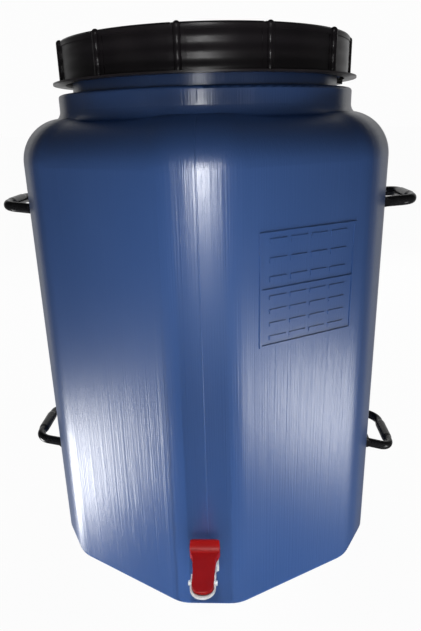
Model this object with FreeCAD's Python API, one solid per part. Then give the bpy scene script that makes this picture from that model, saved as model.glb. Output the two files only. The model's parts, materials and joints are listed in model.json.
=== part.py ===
import FreeCAD, Part
import math
import os

from FreeCAD import Placement, Rotation, Vector

# Blow-moulded plastic barrel with a screw lid, carrying handles and a lever tap.
# Millimetres. The origin is the centre of the base, +Z is up, and the tap faces -Y.

# Driving dimensions of the barrel body
CORNER_FLAT = 65.0
CORNER_ROUND = 42.0
SECTOR_HALF = math.radians(30)
WALL = 3.0
SHOULDER_TOP = 514.0
SHOULDER_ROUND = 45.0
BASE_ROUND = 7.0

# Driving dimensions of the collar and the neck
COLLAR_HEIGHT = 23.0
COLLAR_WALL = 4.0
COLLAR_EDGE = 3.0
COLLAR_FLARE = 8.0
COLLAR_FLARE_HEIGHT = 7.0
FLARE_SINK = 3.0
FLARE_SAG = 0.22
NECK_RADIUS = 146.0
COLLAR_STEP = 16.0
BODY_STEP = 31.5
NECK_WALL = 4.0
NECK_HEIGHT = 39.5

# Driving dimensions of the screw thread between neck and lid
THREAD_LEAD = 18.0
THREAD_TURNS = 1.0
THREAD_ROOT = 5.0
THREAD_CREST = 2.6
THREAD_SINK = 0.8
NECK_THREAD_DEPTH = 5.0
NECK_THREAD_START = 14.0
THREAD_FLANK_GAP = 2.0
THREAD_CREST_GAP = 2.4

# Driving dimensions of the closure
GASKET_THICKNESS = 2.0
GASKET_WIDTH = 3.6
INNER_LID_THICKNESS = 2.5
INNER_LID_DEPTH = 11.0
INNER_LID_CLEARANCE = 0.8
INNER_LID_OVERHANG = 1.5
LID_TOP_GAP = 0.3
LID_TOP_THICKNESS = 3.0
LID_SKIRT_WALL = 3.6
LID_SKIRT_CLEARANCE = 2.4
LID_PANEL_RECESS = 0.7
LID_RIM_HEIGHT = 3.0
LID_RIM_WIDTH = 7.0
LID_COLLAR_GAP = 10.0
LID_LIP = 8.5
LID_LIP_THICKNESS = 1.8
LID_EDGE = 1.6
GRIP_RIBS = 12
GRIP_RIB_RADIUS = 3.5
GRIP_RIB_FIRST = -5.65
GRIP_BAND = 16.0
GRIP_RIB_PROUD = 1.0
RIM_BAND = 5.5
NOTCH_WIDTH = 2.6
NOTCH_DEPTH = 1.8

# Driving dimensions of the handles and their lugs
HANDLE_HEIGHTS = {"lower": 107.0, "upper": 417.0}
HANDLE_TILTS = {"lower_left": 12.0, "lower_right": -14.0, "upper_left": 7.0, "upper_right": 4.0}
HANDLE_REACH = 34.2
HANDLE_ARM_SPACING = 82.0
HANDLE_ARM_RADIUS = 4.9
HANDLE_ARM_HALF_HEIGHT = 5.8
HANDLE_GRIP_RADIUS = 6.4
HANDLE_GRIP_TAPER = 9.0
HANDLE_BEND = 15.0
PIVOT_STANDOFF = 6.5
PIVOT_PIN_RADIUS = 3.0
PIVOT_CLEARANCE = 0.06
PIVOT_PIN_LENGTH = 8.0
LUG_THICKNESS = 9.0
LUG_RADIUS = 5.6
LUG_SIDE_GAP = 0.6
HEEL_DEPTH = 5.0
HEEL_GAP = 0.3
EYE_SWELL = 0.4
PIN_ROOT = 1.0

# Driving dimensions of the marking panel
PANEL_WIDTH = 110.0
PANEL_HEIGHT = 110.0
PANEL_LOW = 303.0
PANEL_SHIFT = 5.3
PANEL_LINE = 2.2
PANEL_RAISE = 0.9
MARK_RAISE = 0.6
UPPER_MARKS = 3
LOWER_MARKS = 4
MARK_BLOCKS = 4
MARK_MARGIN = 8.8
MARK_HEIGHT_SHARE = 0.28
MARK_WIDTH_SHARE = 0.82

# Driving dimensions of the tap
TAP_SIDE_SHIFT = -3.0
TAP_HEIGHT = 64.0
TAP_REACH = 19.2
SHANK_RADIUS = 10.4
SHANK_HOLE_CLEARANCE = 0.3
SHANK_INSIDE = 15.0
PASSAGE_RADIUS = 5.0
SEAL_RADIUS = 14.0
SEAL_THICKNESS = 2.0
FLANGE_ACROSS = 28.0
FLANGE_THICKNESS = 4.5
NUT_ACROSS = 30.0
NUT_THICKNESS = 8.0
NUT_CLEARANCE = 0.05
TUBE_RADIUS = 7.5
CHAMBER_RADIUS = 10.2
CHAMBER_BORE = 7.8
CHAMBER_ABOVE = 8.8
CHAMBER_BELOW = 10.5
SEAT_THICKNESS = 3.0
SEAT_HOLE_RADIUS = 5.0
SPOUT_RADIUS = 8.0
SPOUT_BORE = 6.0
SPOUT_DROP = 11.5
BONNET_RADIUS = 12.2
BONNET_CLEARANCE = 0.2
BONNET_SKIRT = 4.5
BONNET_PLATE = 5.0
BONNET_EDGE = 0.6
BONNET_SEAL = 1.2
STEM_RADIUS = 3.0
STEM_CLEARANCE = 0.08
STEM_SEAL_SECTION = 0.9
STEM_ABOVE_PIN = 2.2
STEM_TOP_BEVEL = 1.2
STEM_PLATE_RADIUS = 6.5
STEM_PLATE_THICKNESS = 2.0
STEM_SPIGOT_RADIUS = 2.0
STEM_FOOT_RADIUS = 3.4
STEM_FOOT_THICKNESS = 1.8
SEAT_SEAL_RADIUS = 6.9
SEAT_SEAL_THICKNESS = 2.5
SEAT_GAP = 0.2
CLOSE_FIT = 0.02
SPRING_WIRE = 0.6
SPRING_TURNS = 4.0
SPRING_COIL_RADIUS = 6.0
SPRING_END_GAP = 0.3

# Driving dimensions of the lever, its tray and its pins
LEVER_PIVOT_REACH = 50.0
LEVER_SWING = 10.0
LEVER_GAP = 1.0
LEVER_BELOW_PIN = 2.7
LEVER_TOP = 4.8
LEVER_NOSE_TOP = 3.4
LEVER_NOSE_LIFT = 3.6
LEVER_EDGE = 1.2
LEVER_LENGTH = 38.0
LEVER_NOSE_REACH = 15.2
LEVER_NOSE_WIDTH = 21.4
LEVER_ARM_WIDTH = 24.2
LEVER_PLAN_ROUND = 0.5
LEVER_BEND = 3.0
LEVER_TAB_WIDTH = 31.4
LEVER_TAB_HEIGHT = 10.0
LEVER_TAB_RUN = 6.0
LEVER_TAB_THICKNESS = 2.6
LEVER_TAB_EDGE = 0.8
LEVER_TAB_CORNER = 5.0
LEVER_PIN_RADIUS = 1.8
LEVER_PIN_CLEARANCE = 0.05
PIN_HEAD_RADIUS = 2.4
PIN_HEAD_THICKNESS = 1.5
PIN_HEAD_GAP = 0.1
LINK_PIN_RADIUS = 1.3
LINK_PIN_CLEARANCE = 0.15
LINK_PIN_INSET = 1.6
LINK_BELOW_PIVOT = 0.2
LINK_SLOT_CLEARANCE = 0.5
TRAY_SIDE_GAP = 0.5
TRAY_RIM = 1.4
TRAY_DEPTH = 0.5
TRAY_RIM_ABOVE = 3.0
TRAY_RIM_HEIGHT = 2.8
TRAY_CORNER = 0.5
TRAY_FLOOR = 1.5
TRAY_SIDE_LENGTH = 12.0
TRAY_ARM_WIDTH = 18.0
CHEEK_RADIUS = 3.4
CHEEK_GAP = 0.7

# Places worked out from the driving dimensions
COLLAR_RADIUS = NECK_RADIUS + COLLAR_STEP
APOTHEM = COLLAR_RADIUS + BODY_STEP
CORNER_DISTANCE = APOTHEM / math.cos(SECTOR_HALF) - CORNER_FLAT / 2.0 * math.tan(SECTOR_HALF)
COLLAR_TOP = SHOULDER_TOP + COLLAR_HEIGHT
NECK_TOP = COLLAR_TOP + NECK_HEIGHT
NECK_BORE = NECK_RADIUS - NECK_WALL
FLANGE_LOW = NECK_TOP + GASKET_THICKNESS
FLANGE_HIGH = FLANGE_LOW + INNER_LID_THICKNESS
LID_LOW = COLLAR_TOP + LID_COLLAR_GAP
LID_ROOF = FLANGE_HIGH + LID_TOP_GAP
LID_PANEL_TOP = LID_ROOF + LID_TOP_THICKNESS
LID_RIM_TOP = LID_PANEL_TOP + LID_RIM_HEIGHT
LID_BORE = NECK_RADIUS + NECK_THREAD_DEPTH + LID_SKIRT_CLEARANCE
LID_RADIUS = LID_BORE + LID_SKIRT_WALL + LID_PANEL_RECESS
PIVOT_X = APOTHEM + PIVOT_STANDOFF
TAP_FACE = -CORNER_DISTANCE
CHAMBER_Y = TAP_FACE - TAP_REACH
CHAMBER_TOP = TAP_HEIGHT + CHAMBER_ABOVE
CHAMBER_LOW = TAP_HEIGHT - CHAMBER_BELOW
BONNET_UNDER = CHAMBER_TOP + BONNET_SEAL
BONNET_TOP = BONNET_UNDER + BONNET_PLATE
SPOUT_END = CHAMBER_LOW - SEAT_THICKNESS - SPOUT_DROP
STEM_PLATE_LOW = CHAMBER_LOW + SEAT_GAP + SEAT_SEAL_THICKNESS
TAP_AXIS = Vector(TAP_SIDE_SHIFT, CHAMBER_Y, 0)
LEVER_PIVOT = Vector(TAP_SIDE_SHIFT, TAP_FACE - LEVER_PIVOT_REACH, BONNET_TOP + LEVER_GAP + LEVER_BELOW_PIN)
LINK_ARM = LEVER_PIVOT_REACH - TAP_REACH
LINK_HEIGHT = LEVER_PIVOT.z - LINK_BELOW_PIVOT
STEM_LIFT = LINK_ARM * math.radians(LEVER_SWING)
NOSE_RADIUS = LEVER_NOSE_WIDTH / 2.0
NOSE_CENTRE = LEVER_NOSE_REACH - NOSE_RADIUS
TRAY_INSIDE = NOSE_RADIUS + TRAY_SIDE_GAP
TRAY_OUTSIDE = TRAY_INSIDE + TRAY_RIM
TRAY_TOP = BONNET_TOP + TRAY_RIM_ABOVE

UP = Vector(0, 0, 1)
ALONG_X = Vector(1, 0, 0)
ALONG_Y = Vector(0, 1, 0)
CENTRE = Vector(0, 0, 0)


# Helpers

def rod(radius, length, base, direction=UP):
    """A plain round rod from its base point along a direction."""
    return Part.makeCylinder(radius, length, base, direction)


def ring(outer, inner, length, base, direction=UP):
    """A round ring with a straight bore."""
    bore = rod(inner, length + 2.0, base - direction * 1.0, direction)
    return rod(outer, length, base, direction).cut(bore)


def block(x_range, y_range, z_range):
    """A box between three pairs of limits."""
    corner = Vector(x_range[0], y_range[0], z_range[0])
    size = [high - low for low, high in (x_range, y_range, z_range)]
    return Part.makeBox(size[0], size[1], size[2], corner)


def turned(points):
    """A solid of revolution about Z from (radius, height) points."""
    corners = [Vector(radius, 0, height) for radius, height in points]
    outline = Part.makePolygon(corners + corners[:1])
    return Part.Face(outline).revolve(CENTRE, UP, 360)


def hexagon_prism(across, base, direction, length):
    """A hexagon prism with two flats facing +X and -X."""
    corner = across / 2.0 / math.cos(SECTOR_HALF)
    points = []
    for step in range(7):
        angle = math.radians(90 + 60 * step)
        points.append(base + Vector(corner * math.cos(angle), 0, corner * math.sin(angle)))
    return Part.Face(Part.makePolygon(points)).extrude(direction * length)


def edges_at_height(shape, height):
    """The edges of a shape that lie wholly at one height."""
    found = []
    for edge in shape.Edges:
        box = edge.BoundBox
        if abs(box.ZMin - height) < 0.01 and abs(box.ZMax - height) < 0.01:
            found.append(edge)
    return found


def one_solid(shape):
    """The single solid of a boolean result."""
    refined = shape.removeSplitter()
    return refined.Solids[0] if len(refined.Solids) == 1 else refined


# Barrel body

def body_outline(apothem, corner_distance, rounding, height):
    """The hexagon section with cut, rounded corners, as a closed wire."""
    half_cut = (apothem / math.cos(SECTOR_HALF) - corner_distance) / math.tan(SECTOR_HALF)
    vertices = []
    for step in range(6):
        angle = math.radians(60 * step - 90)
        outward = Vector(math.cos(angle), math.sin(angle), 0)
        sideways = Vector(-math.sin(angle), math.cos(angle), 0)
        for side in (-1, 1):
            vertices.append(outward * corner_distance + sideways * (half_cut * side))
    half_turn = SECTOR_HALF / 2.0
    trim = rounding * math.tan(half_turn)
    lift = Vector(0, 0, height)
    starts, ends, arcs = [], [], []
    for index, vertex in enumerate(vertices):
        before = vertex - vertices[index - 1]
        after = vertices[(index + 1) % len(vertices)] - vertex
        before.normalize()
        after.normalize()
        inward = after - before
        inward.normalize()
        start = vertex - before * trim
        end = vertex + after * trim
        middle = vertex + inward * (rounding / math.cos(half_turn) - rounding)
        starts.append(start + lift)
        ends.append(end + lift)
        arcs.append(Part.Arc(start + lift, middle + lift, end + lift).toShape())
    edges = []
    for index, arc in enumerate(arcs):
        edges.append(Part.LineSegment(ends[index - 1], starts[index]).toShape())
        edges.append(arc)
    return Part.Wire(edges)


def body_block(inset):
    """The barrel's prism with rounded shoulder and base, set in from the outer skin."""
    outline = body_outline(APOTHEM - inset, CORNER_DISTANCE - inset, CORNER_ROUND - inset, inset)
    height = SHOULDER_TOP - 2.0 * inset
    prism = Part.Face(outline).extrude(UP * height)
    prism = prism.makeFillet(SHOULDER_ROUND - inset, edges_at_height(prism, inset + height))
    return prism.makeFillet(BASE_ROUND - inset, edges_at_height(prism, inset))


def collar_and_neck():
    """The collar with its flared foot, and the neck above it, solid."""
    flare_top = SHOULDER_TOP + COLLAR_FLARE_HEIGHT
    foot = Vector(COLLAR_RADIUS + COLLAR_FLARE, 0, SHOULDER_TOP - FLARE_SINK)
    flare_start = Vector(COLLAR_RADIUS, 0, flare_top)
    sag = Vector(COLLAR_RADIUS + COLLAR_FLARE * FLARE_SAG, 0, SHOULDER_TOP + COLLAR_FLARE_HEIGHT * FLARE_SAG)
    flare = Part.Arc(foot, sag, flare_start).toShape()
    bevel = COLLAR_EDGE * (1.0 - math.sqrt(0.5))
    edge_start = Vector(COLLAR_RADIUS, 0, COLLAR_TOP - COLLAR_EDGE)
    edge_middle = Vector(COLLAR_RADIUS - bevel, 0, COLLAR_TOP - bevel)
    edge_end = Vector(COLLAR_RADIUS - COLLAR_EDGE, 0, COLLAR_TOP)
    edge = Part.Arc(edge_start, edge_middle, edge_end).toShape()
    rest = [
        edge_end,
        Vector(NECK_RADIUS, 0, COLLAR_TOP),
        Vector(NECK_RADIUS, 0, NECK_TOP),
        Vector(0, 0, NECK_TOP),
        Vector(0, 0, foot.z),
        foot,
    ]
    side = Part.LineSegment(flare_start, edge_start).toShape()
    outline = Part.Wire([flare, side, edge] + Part.makePolygon(rest).Edges)
    return Part.Face(outline).revolve(CENTRE, UP, 360)


def thread_ridge(root_radius, crest_radius, start_height):
    """A right-handed screw ridge of one lead, its section a trapezium on the root radius."""
    spine = Part.makeHelix(THREAD_LEAD, THREAD_LEAD * THREAD_TURNS, root_radius)
    sink = THREAD_SINK if crest_radius > root_radius else -THREAD_SINK
    corners = [
        Vector(root_radius - sink, 0, -THREAD_ROOT / 2.0),
        Vector(crest_radius, 0, -THREAD_CREST / 2.0),
        Vector(crest_radius, 0, THREAD_CREST / 2.0),
        Vector(root_radius - sink, 0, THREAD_ROOT / 2.0),
    ]
    section = Part.makePolygon(corners + corners[:1])
    ridge = Part.Wire(spine.Edges).makePipeShell([section], True, True)
    ridge.translate(Vector(0, 0, start_height))
    return ridge


def handle_lugs(side, height):
    """The two lugs moulded on a side flat that carry one handle."""
    lugs = []
    inner = HANDLE_ARM_SPACING / 2.0 - HANDLE_ARM_RADIUS - LUG_SIDE_GAP - LUG_THICKNESS
    for end in (-1, 1):
        near = min(end * inner, end * (inner + LUG_THICKNESS))
        eye = rod(LUG_RADIUS, LUG_THICKNESS, Vector(side * PIVOT_X, near, height), ALONG_Y)
        root = sorted((side * (APOTHEM - WALL / 2.0), side * PIVOT_X))
        foot = block(root, (near, near + LUG_THICKNESS), (height - LUG_RADIUS, height + LUG_RADIUS))
        lugs.append(eye.fuse(foot))
    return lugs


def lug_bores(side, height):
    """The bore through both lugs of one handle."""
    half = HANDLE_ARM_SPACING / 2.0
    base = Vector(side * PIVOT_X, -half, height)
    return rod(PIVOT_PIN_RADIUS + PIVOT_CLEARANCE, 2.0 * half, base, ALONG_Y)


def raised_bar(along, width, low, high, raise_by):
    """A raised bar on the right front flat, placed by its distance along the flat."""
    bar = block((along, along + width), (-(APOTHEM + raise_by), -(APOTHEM - WALL / 2.0)), (low, high))
    bar.Placement = Placement(CENTRE, Rotation(UP, math.degrees(SECTOR_HALF))).multiply(bar.Placement)
    return bar


def marking_panel():
    """The framed marking panel: a frame, a divider and rows of plain raised blocks."""
    left = PANEL_SHIFT - PANEL_WIDTH / 2.0
    top = PANEL_LOW + PANEL_HEIGHT
    middle = PANEL_LOW + PANEL_HEIGHT / 2.0
    bars = []
    for low in (PANEL_LOW, middle, top - PANEL_LINE):
        bars.append(raised_bar(left, PANEL_WIDTH, low, low + PANEL_LINE, PANEL_RAISE))
    for along in (left, left + PANEL_WIDTH - PANEL_LINE):
        bars.append(raised_bar(along, PANEL_LINE, PANEL_LOW, top, PANEL_RAISE))
    for low, rows in ((middle, UPPER_MARKS), (PANEL_LOW, LOWER_MARKS)):
        pitch = (PANEL_HEIGHT / 2.0 - PANEL_LINE) / rows
        height = pitch * MARK_HEIGHT_SHARE
        for row in range(rows):
            base = low + PANEL_LINE + pitch * (row + 0.5) - height / 2.0
            bars += mark_row(left, base, height)
    return bars


def mark_row(left, base, height):
    """One row of plain blocks across the marking panel."""
    pitch = (PANEL_WIDTH - 2.0 * MARK_MARGIN) / MARK_BLOCKS
    width = pitch * MARK_WIDTH_SHARE
    start = left + MARK_MARGIN + (pitch - width) / 2.0
    row = []
    for step in range(MARK_BLOCKS):
        row.append(raised_bar(start + pitch * step, width, base, base + height, MARK_RAISE))
    return row


def barrel_body():
    """The one-piece blow-moulded barrel with its collar, neck, thread, lugs and marking panel."""
    additions = [collar_and_neck()]
    for height in HANDLE_HEIGHTS.values():
        for side in (-1, 1):
            additions += handle_lugs(side, height)
    additions += marking_panel()
    shape = body_block(0.0).multiFuse(additions)
    inside_collar = rod(COLLAR_RADIUS - COLLAR_WALL, COLLAR_HEIGHT, Vector(0, 0, SHOULDER_TOP - WALL * 1.4))
    mouth = rod(NECK_BORE, NECK_HEIGHT + COLLAR_HEIGHT, Vector(0, 0, SHOULDER_TOP))
    tap_hole = rod(
        SHANK_RADIUS + SHANK_HOLE_CLEARANCE,
        4.0 * WALL,
        Vector(TAP_SIDE_SHIFT, TAP_FACE - WALL, TAP_HEIGHT),
        ALONG_Y,
    )
    cuts = [body_block(WALL), inside_collar, mouth, tap_hole]
    for height in HANDLE_HEIGHTS.values():
        for side in (-1, 1):
            cuts.append(lug_bores(side, height).cut(body_block(0.0)))
    shape = shape.cut(cuts[0].multiFuse(cuts[1:]))
    ridge = thread_ridge(NECK_RADIUS, NECK_RADIUS + NECK_THREAD_DEPTH, COLLAR_TOP + NECK_THREAD_START)
    return one_solid(shape).fuse(ridge).Solids[0]


# Closure

def lid_gasket():
    """The flat ring that seals between the neck and the inner lid."""
    return ring(NECK_RADIUS, NECK_RADIUS - GASKET_WIDTH, GASKET_THICKNESS, Vector(0, 0, NECK_TOP))


def inner_lid():
    """The dished inner lid: a flange on the gasket and a plug down into the mouth."""
    rim = NECK_RADIUS + INNER_LID_OVERHANG
    plug = NECK_BORE - INNER_LID_CLEARANCE
    plug_inside = plug - INNER_LID_THICKNESS
    floor = FLANGE_HIGH - INNER_LID_DEPTH
    return turned([
        (0, floor - INNER_LID_THICKNESS),
        (plug, floor - INNER_LID_THICKNESS),
        (plug, FLANGE_LOW),
        (rim, FLANGE_LOW),
        (rim, FLANGE_HIGH),
        (plug_inside, FLANGE_HIGH),
        (plug_inside, floor),
        (0, floor),
    ])


def lid_shell():
    """The turned cap: skirt, lower lip, roof and raised rim."""
    lip = LID_RADIUS + LID_LIP
    return turned([
        (LID_BORE, LID_LOW),
        (lip, LID_LOW),
        (lip, LID_LOW + LID_LIP_THICKNESS),
        (LID_RADIUS, LID_LOW + LID_LIP_THICKNESS),
        (LID_RADIUS, LID_RIM_TOP - LID_EDGE),
        (LID_RADIUS - LID_EDGE, LID_RIM_TOP),
        (LID_RADIUS - LID_RIM_WIDTH, LID_RIM_TOP),
        (LID_RADIUS - LID_RIM_WIDTH, LID_PANEL_TOP),
        (0, LID_PANEL_TOP),
        (0, LID_ROOF),
        (LID_BORE, LID_ROOF),
    ])


def lid_panel_cut(first_angle):
    """The shallow recess between two grip bands, starting at an angle from -Y."""
    half_band = math.degrees(GRIP_BAND / 2.0 / LID_RADIUS)
    sweep = 360.0 / GRIP_RIBS - 2.0 * half_band
    low = LID_LOW + LID_LIP_THICKNESS + LID_EDGE
    high = LID_RIM_TOP - RIM_BAND
    start = math.radians(first_angle + half_band - 90.0)
    floor = LID_RADIUS - LID_PANEL_RECESS
    outside = LID_RADIUS + LID_LIP
    corners = []
    for radius, height in ((floor, low), (outside, low), (outside, high), (floor, high)):
        corners.append(Vector(radius * math.cos(start), radius * math.sin(start), height))
    face = Part.Face(Part.makePolygon(corners + corners[:1]))
    return face.revolve(CENTRE, UP, sweep)


def grip_rib(angle):
    """One half-round grip rib with a domed top that stands above the rim."""
    heading = math.radians(angle - 90.0)
    place = Vector(LID_RADIUS * math.cos(heading), LID_RADIUS * math.sin(heading), 0)
    centre = place * (1.0 - LID_PANEL_RECESS / LID_RADIUS)
    low = LID_LOW + LID_LIP_THICKNESS / 2.0
    top = LID_RIM_TOP + GRIP_RIB_PROUD - GRIP_RIB_RADIUS
    column = rod(GRIP_RIB_RADIUS, top - low, centre + UP * low)
    dome = Part.makeSphere(GRIP_RIB_RADIUS, centre + UP * top)
    return column.fuse(dome)


def rim_notch(angle):
    """The small nick in the rim beside a grip rib."""
    beside = math.degrees((GRIP_RIB_RADIUS + NOTCH_WIDTH / 2.0) / LID_RADIUS)
    nick = block(
        (-NOTCH_WIDTH / 2.0, NOTCH_WIDTH / 2.0),
        (-LID_RADIUS - 1.0, -LID_RADIUS + LID_RIM_WIDTH / 2.0),
        (LID_RIM_TOP - NOTCH_DEPTH, LID_RIM_TOP + 1.0),
    )
    nick.Placement = Placement(CENTRE, Rotation(UP, angle - beside)).multiply(nick.Placement)
    return nick


def screw_lid():
    """The black screw cap with its grip ribs, recessed panels and inner thread."""
    angles = [GRIP_RIB_FIRST + 360.0 / GRIP_RIBS * step for step in range(GRIP_RIBS)]
    panels = [lid_panel_cut(angle) for angle in angles]
    shell = lid_shell().cut(panels[0].multiFuse(panels[1:]))
    ribs = [grip_rib(angle) for angle in angles]
    inside = rod(LID_BORE, LID_ROOF - LID_LOW + 2.0, Vector(0, 0, LID_LOW - 2.0))
    shell = shell.multiFuse(ribs)
    notches = [rim_notch(angle) for angle in angles]
    shell = shell.cut(inside.multiFuse(notches))
    below = THREAD_ROOT / 2.0 + THREAD_CREST / 2.0 + THREAD_FLANK_GAP
    crest = NECK_RADIUS + THREAD_CREST_GAP
    ridge = thread_ridge(LID_BORE, crest, COLLAR_TOP + NECK_THREAD_START - below)
    return one_solid(shell).fuse(ridge).Solids[0]


# Handles

def handle_tube():
    """The loop: two arms joined to the grip by round bends, in the horizontal plane."""
    half = HANDLE_ARM_SPACING / 2.0
    reach = HANDLE_REACH
    slant = HANDLE_BEND * (1.0 - math.sqrt(0.5))
    edges = []
    corner_start = Vector(reach - HANDLE_BEND, -half, 0)
    corner_middle = Vector(reach - slant, -half + slant, 0)
    corner_end = Vector(reach, -half + HANDLE_BEND, 0)
    edges.append(Part.LineSegment(Vector(0, -half, 0), corner_start).toShape())
    edges.append(Part.Arc(corner_start, corner_middle, corner_end).toShape())
    mirrored = [Vector(p.x, -p.y, p.z) for p in (corner_start, corner_middle, corner_end)]
    edges.append(Part.LineSegment(corner_end, mirrored[2]).toShape())
    edges.append(Part.Arc(mirrored[2], mirrored[1], mirrored[0]).toShape())
    edges.append(Part.LineSegment(mirrored[0], Vector(0, half, 0)).toShape())
    start = Vector(0, -half, 0)
    oval = Part.Ellipse(start + UP * HANDLE_ARM_HALF_HEIGHT, start + ALONG_Y * HANDLE_ARM_RADIUS, start)
    section = Part.Wire(oval.toShape())
    return Part.Wire(edges).makePipeShell([section], True, False)


def handle_grip():
    """The thicker grip with tapered ends, along the loop's outer side."""
    full = HANDLE_ARM_SPACING / 2.0 - HANDLE_BEND
    taper = HANDLE_GRIP_TAPER
    grip = turned([
        (0, -full),
        (HANDLE_ARM_RADIUS, -full),
        (HANDLE_GRIP_RADIUS, -full + taper),
        (HANDLE_GRIP_RADIUS, full - taper),
        (HANDLE_ARM_RADIUS, full),
        (0, full),
    ])
    grip.Placement = Placement(Vector(HANDLE_REACH, 0, 0), Rotation(ALONG_X, 90)).multiply(grip.Placement)
    return grip


def handle_eye(end):
    """The pivot end of one arm: a round boss, a stop heel and an inward stub pin."""
    half = HANDLE_ARM_SPACING / 2.0
    low = end * half - HANDLE_ARM_RADIUS
    width = 2.0 * HANDLE_ARM_RADIUS
    boss = rod(HANDLE_ARM_RADIUS + EYE_SWELL, width, Vector(0, low, 0), ALONG_Y)
    heel = block((-PIVOT_STANDOFF + HEEL_GAP, 0), (low, low + width), (-HEEL_DEPTH, 0))
    inner_face = half - HANDLE_ARM_RADIUS
    start = end * (inner_face + PIN_ROOT)
    pin = rod(PIVOT_PIN_RADIUS, PIVOT_PIN_LENGTH + PIN_ROOT, Vector(0, start, 0), ALONG_Y * -end)
    return [boss, heel, pin]


def handle(side, height, tilt):
    """One carrying handle in place, its loop tilted up by an angle and its heels square on the wall."""
    loop = handle_tube().fuse(handle_grip())
    loop.rotate(CENTRE, ALONG_Y, -tilt)
    shape = one_solid(loop.multiFuse(handle_eye(-1) + handle_eye(1)))
    if side < 0:
        shape = shape.mirror(CENTRE, ALONG_X)
    shape.translate(Vector(side * PIVOT_X, 0, height))
    return shape


# Tap

def tap_outer_seal():
    """The rubber washer between the tap's flange and the barrel."""
    base = Vector(TAP_SIDE_SHIFT, TAP_FACE, TAP_HEIGHT)
    return ring(SEAL_RADIUS, SHANK_RADIUS + SHANK_HOLE_CLEARANCE, SEAL_THICKNESS, base, -ALONG_Y)


def tap_inner_seal():
    """The rubber washer between the barrel's inner wall and the nut."""
    base = Vector(TAP_SIDE_SHIFT, TAP_FACE + WALL, TAP_HEIGHT)
    return ring(SEAL_RADIUS, SHANK_RADIUS + SHANK_HOLE_CLEARANCE, SEAL_THICKNESS, base, ALONG_Y)


def tap_nut():
    """The hexagon nut that clamps the tap from inside the barrel."""
    base = Vector(TAP_SIDE_SHIFT, TAP_FACE + WALL + SEAL_THICKNESS, TAP_HEIGHT)
    nut = hexagon_prism(NUT_ACROSS, base, ALONG_Y, NUT_THICKNESS)
    bore = rod(SHANK_RADIUS + NUT_CLEARANCE, NUT_THICKNESS + 2.0, base - ALONG_Y, ALONG_Y)
    return one_solid(nut.cut(bore))


def tap_body():
    """The white moulding: shank, flange, tube, valve chamber and spout in one piece."""
    axis = Vector(TAP_SIDE_SHIFT, 0, TAP_HEIGHT)
    flange_face = TAP_FACE - SEAL_THICKNESS
    shank_length = SEAL_THICKNESS + WALL + SHANK_INSIDE
    shank = rod(SHANK_RADIUS, shank_length, axis + ALONG_Y * flange_face, ALONG_Y)
    flange = hexagon_prism(FLANGE_ACROSS, axis + ALONG_Y * flange_face, -ALONG_Y, FLANGE_THICKNESS)
    tube = rod(TUBE_RADIUS, TAP_REACH - SEAL_THICKNESS, axis + ALONG_Y * flange_face, -ALONG_Y)
    floor = CHAMBER_LOW - SEAT_THICKNESS
    chamber = rod(CHAMBER_RADIUS, CHAMBER_TOP - floor, TAP_AXIS + UP * floor)
    spout = rod(SPOUT_RADIUS, SPOUT_DROP + SEAT_THICKNESS / 2.0, TAP_AXIS + UP * SPOUT_END)
    shape = shank.multiFuse([flange, tube, chamber, spout])
    passage = rod(PASSAGE_RADIUS, TAP_REACH + WALL + SHANK_INSIDE, TAP_AXIS + UP * TAP_HEIGHT, ALONG_Y)
    bore = rod(CHAMBER_BORE, CHAMBER_TOP - CHAMBER_LOW + 1.0, TAP_AXIS + UP * CHAMBER_LOW)
    seat = rod(SEAT_HOLE_RADIUS, SEAT_THICKNESS + 2.0, TAP_AXIS + UP * (floor - 1.0))
    outlet = rod(SPOUT_BORE, SPOUT_DROP + 1.0, TAP_AXIS + UP * (SPOUT_END - 1.0))
    return one_solid(shape.cut(passage.multiFuse([bore, seat, outlet])))


def bonnet_cap():
    """The round part of the bonnet: a skirt round the chamber and a thick top with the stem's bore."""
    inside = CHAMBER_RADIUS + BONNET_CLEARANCE
    recess = STEM_RADIUS + STEM_CLEARANCE + 2.0 * STEM_SEAL_SECTION
    recess_top = BONNET_UNDER + 2.0 * STEM_SEAL_SECTION
    cap = turned([
        (STEM_RADIUS + STEM_CLEARANCE, BONNET_TOP),
        (STEM_RADIUS + STEM_CLEARANCE, recess_top),
        (recess, recess_top),
        (recess, BONNET_UNDER),
        (inside, BONNET_UNDER),
        (inside, CHAMBER_TOP - BONNET_SKIRT),
        (BONNET_RADIUS, CHAMBER_TOP - BONNET_SKIRT),
        (BONNET_RADIUS, BONNET_TOP - BONNET_EDGE),
        (BONNET_RADIUS - BONNET_EDGE, BONNET_TOP),
    ])
    cap.translate(TAP_AXIS)
    return cap


def lever_tray():
    """The boat-shaped tray that holds the lever's nose: a thin rim over a hull that slopes in at 45 degrees."""
    floor = BONNET_TOP - TRAY_DEPTH
    low = floor - TRAY_FLOOR
    rim_low = TRAY_TOP - TRAY_RIM_HEIGHT
    hull = [
        (TRAY_OUTSIDE - (rim_low - low), low),
        (TRAY_OUTSIDE, rim_low),
        (TRAY_OUTSIDE, TRAY_TOP),
        (TRAY_INSIDE, TRAY_TOP),
        (TRAY_INSIDE, floor + TRAY_CORNER),
        (TRAY_INSIDE - TRAY_CORNER, floor),
    ]
    front = Vector(LEVER_PIVOT.x, LEVER_PIVOT.y - NOSE_CENTRE, 0)
    length = TRAY_SIDE_LENGTH + NOSE_CENTRE
    outside = hull[:3] + [(0, TRAY_TOP)]
    nose = turned([(0, low)] + outside)
    nose.translate(front)
    sides = mirrored_bar(outside + [(0, low)], length)
    sides.translate(front)
    inside = [(0, floor), hull[5], hull[4], hull[3], (0, TRAY_TOP)]
    room = turned(inside).fuse(mirrored_bar(inside, length))
    room.translate(front)
    return nose.fuse(sides).cut(room)


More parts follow.
